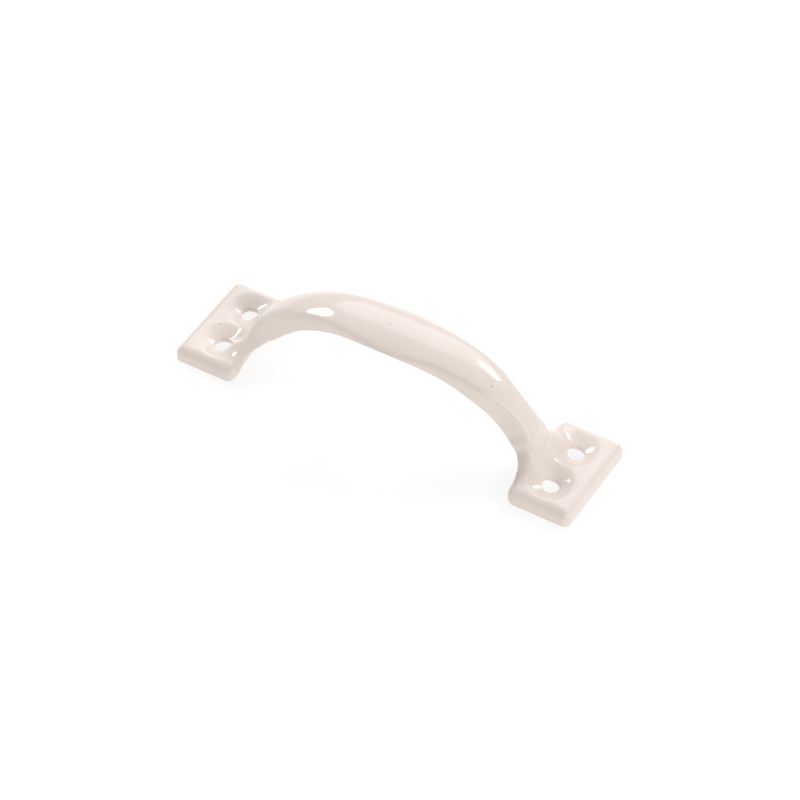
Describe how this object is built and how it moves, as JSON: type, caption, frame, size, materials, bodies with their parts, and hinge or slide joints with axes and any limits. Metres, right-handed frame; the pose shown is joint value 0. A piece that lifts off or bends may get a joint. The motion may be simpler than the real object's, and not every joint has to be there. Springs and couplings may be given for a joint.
{
  "type": "sash lift handle",
  "caption": "Bow handle for lifting a sliding window sash: an enamelled sheet-steel pressing with a waisted, crowned bow between flanged rectangular feet with dished screw holes.",
  "frame": {"origin": "middle of the base: the centre of the plane the feet rest on", "axes": "+X along the handle from foot to foot, +Y across it, +Z away from the sash towards the top of the bow"},
  "size_m": [0.115, 0.0302, 0.0291],
  "materials": {
    "enamel": "gloss",
    "steel": "satin"
  },
  "bodies": {
    "root": {"enamel_coat": "enamel", "steel_pressing": "steel"}
  },
  "joints": []
}
